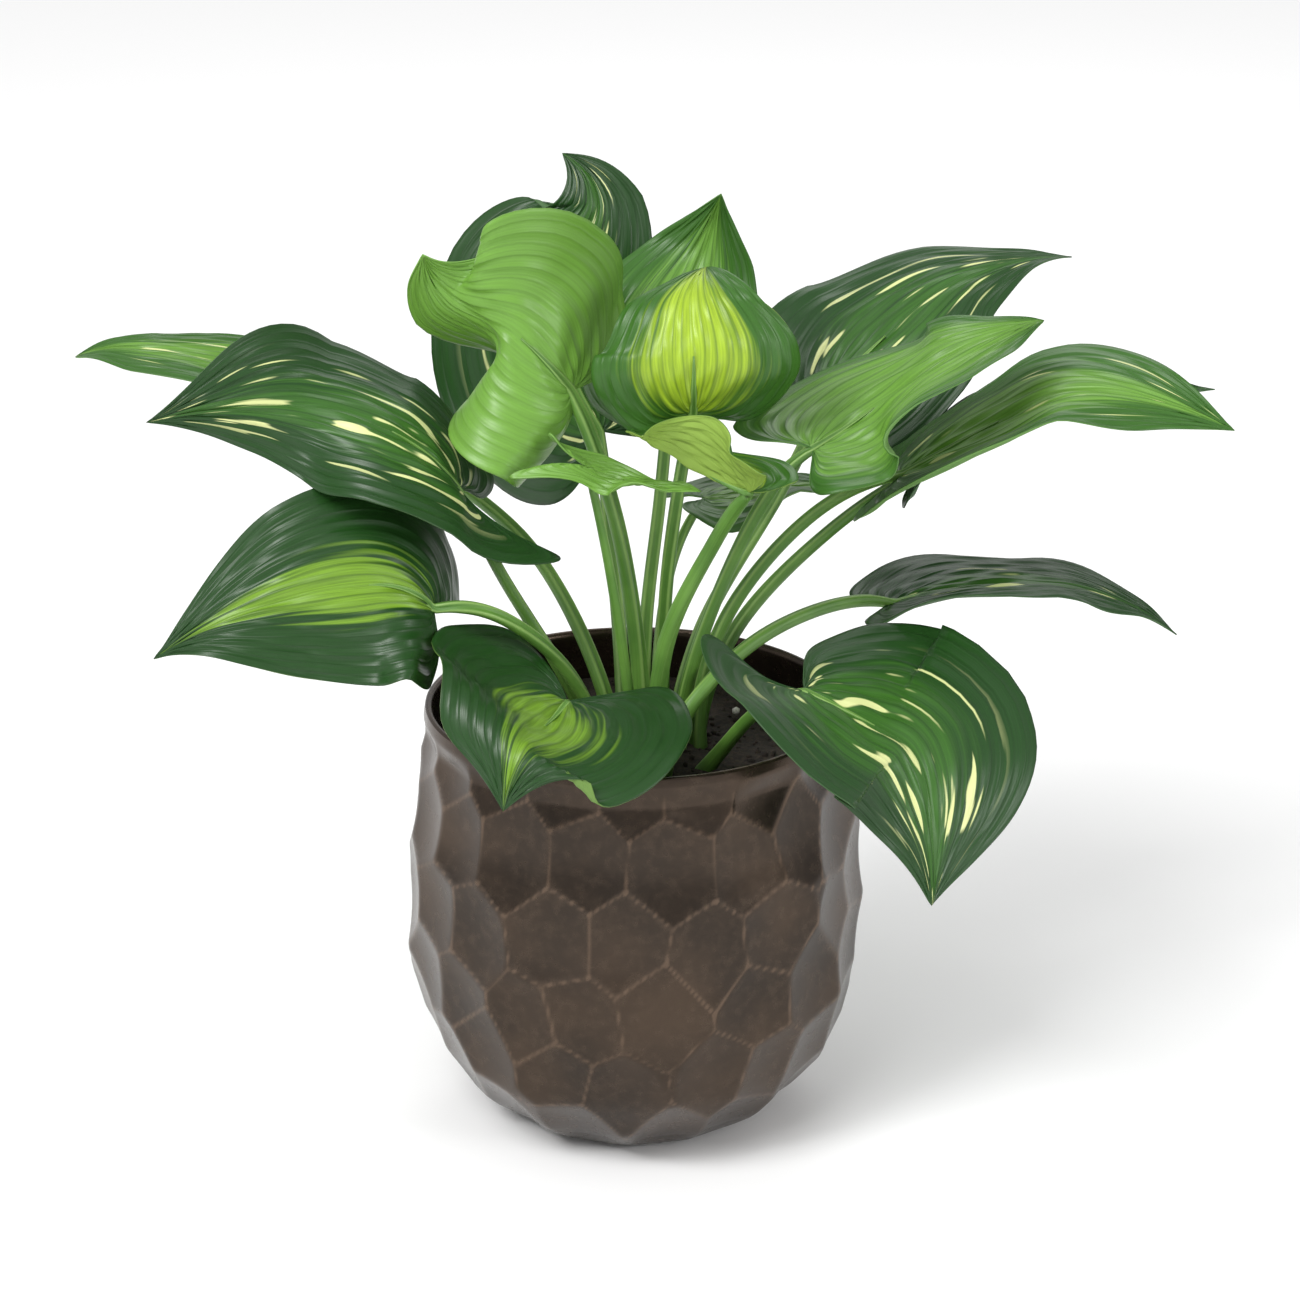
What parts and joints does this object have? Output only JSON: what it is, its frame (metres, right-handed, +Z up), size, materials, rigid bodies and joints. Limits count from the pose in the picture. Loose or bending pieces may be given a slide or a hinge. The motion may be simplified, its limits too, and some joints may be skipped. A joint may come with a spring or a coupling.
{
  "type": "potted hosta plant",
  "caption": "Clump of variegated heart-shaped leaves on channelled stalks in a round hammered pot with soil.",
  "frame": {"origin": "centre of the pot's foot, on the surface it stands on", "axes": "+Z up, -Y towards the plant's front, +X to its right as seen from the front"},
  "size_m": [0.4942, 0.2702, 0.4016],
  "materials": {
    "glazed_pot": "dark bronze glaze, satin",
    "potting_soil": "crumbly, matt",
    "root_crown_earth": "matt",
    "white_grain": "matt",
    "green_stalk": "waxy",
    "dark_leaf": "waxy, dark green with cream flecks",
    "light_leaf": "waxy, light green"
  },
  "bodies": {
    "root": {"pot": "glazed_pot", "soil": "potting_soil", "root_crown": "root_crown_earth", "grain_1": "white_grain", "grain_2": "white_grain", "grain_3": "white_grain", "grain_4": "white_grain", "far_left_stalk": "green_stalk", "far_left_blade": "dark_leaf", "upper_left_stalk": "green_stalk", "upper_left_blade": "dark_leaf", "lower_left_stalk": "green_stalk", "lower_left_blade": "dark_leaf", "front_left_stalk": "green_stalk", "front_left_blade": "dark_leaf", "front_right_stalk": "green_stalk", "front_right_blade": "dark_leaf", "right_low_stalk": "green_stalk", "right_low_blade": "dark_leaf", "right_stalk": "green_stalk", "right_blade": "dark_leaf", "back_right_stalk": "green_stalk", "back_right_blade": "dark_leaf", "mid_right_stalk": "green_stalk", "mid_right_blade": "light_leaf", "centre_stalk": "green_stalk", "centre_blade": "light_leaf", "centre_back_stalk": "green_stalk", "centre_back_blade": "light_leaf", "small_centre_stalk": "green_stalk", "small_centre_blade": "light_leaf", "back_stalk": "green_stalk", "back_blade": "dark_leaf", "mid_left_stalk": "green_stalk", "mid_left_blade": "light_leaf", "far_right_stalk": "green_stalk", "far_right_blade": "dark_leaf", "low_back_stalk": "green_stalk", "low_back_blade": "dark_leaf", "young_stalk": "green_stalk", "young_blade": "light_leaf"}
  },
  "joints": []
}
